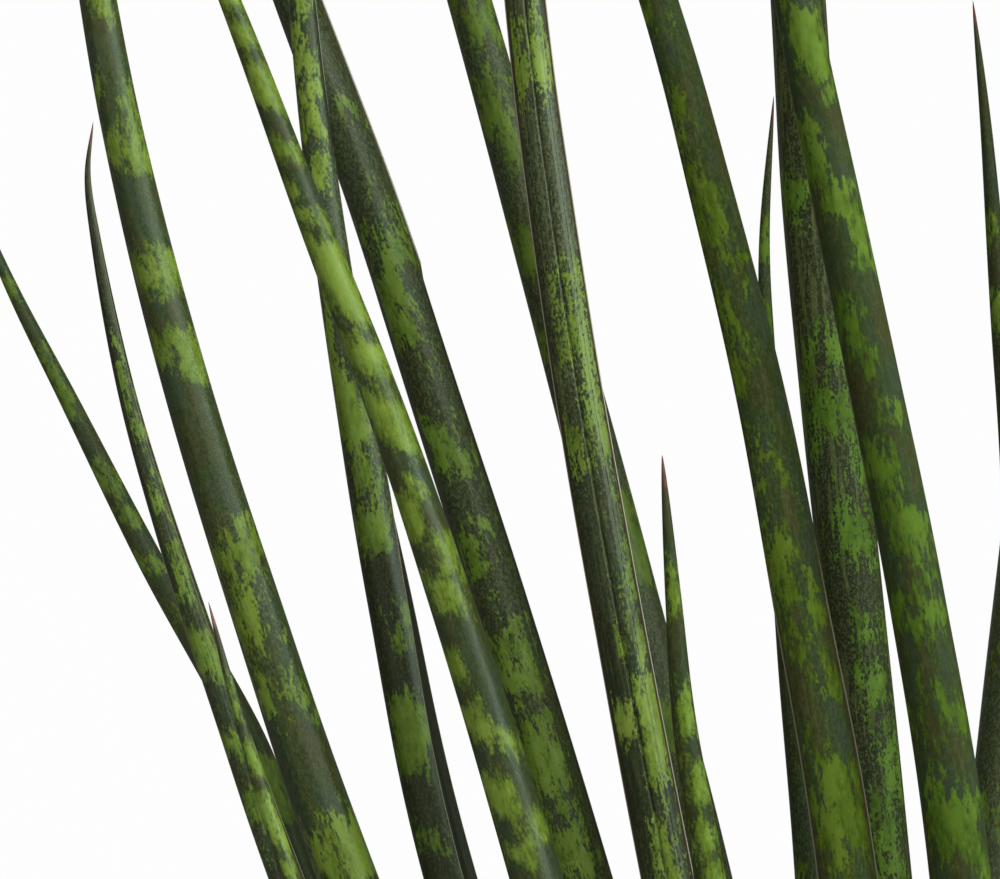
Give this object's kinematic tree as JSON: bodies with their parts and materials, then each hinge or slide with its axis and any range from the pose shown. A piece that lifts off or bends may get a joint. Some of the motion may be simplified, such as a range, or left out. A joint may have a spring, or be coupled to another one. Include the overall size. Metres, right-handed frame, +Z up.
{
  "type": "potted cylindrical snake plant",
  "caption": "Upright succulent with long tapering cylindrical leaves, banded in dark and light green, rooted in soil in a plain round pot.",
  "frame": {"origin": "centre of the pot's flat base", "axes": "+Z up along the pot's axis; +Y away from the side that is seen first, and +X to its right, so most of the long arching leaves lean towards -X"},
  "size_m": [0.407, 0.33, 0.698],
  "materials": {
    "fired_clay": "matte, unglazed",
    "potting_soil": "loose, matte",
    "leaf_skin": "waxy, satin"
  },
  "bodies": {
    "root": {"pot": "fired_clay", "soil": "potting_soil", "leaf_01": "leaf_skin", "leaf_02": "leaf_skin", "leaf_03": "leaf_skin", "leaf_04": "leaf_skin", "leaf_05": "leaf_skin", "leaf_06": "leaf_skin", "leaf_07": "leaf_skin", "leaf_08": "leaf_skin", "leaf_09": "leaf_skin", "leaf_10": "leaf_skin", "leaf_11": "leaf_skin", "leaf_12": "leaf_skin", "leaf_13": "leaf_skin", "leaf_14": "leaf_skin", "leaf_15": "leaf_skin", "leaf_16": "leaf_skin", "leaf_17": "leaf_skin", "leaf_18": "leaf_skin", "leaf_19": "leaf_skin", "leaf_20": "leaf_skin", "leaf_21": "leaf_skin", "leaf_22": "leaf_skin", "leaf_23": "leaf_skin", "leaf_24": "leaf_skin", "leaf_25": "leaf_skin", "leaf_26": "leaf_skin", "leaf_27": "leaf_skin", "leaf_28": "leaf_skin", "leaf_29": "leaf_skin", "leaf_30": "leaf_skin", "leaf_31": "leaf_skin", "leaf_32": "leaf_skin"}
  },
  "joints": []
}
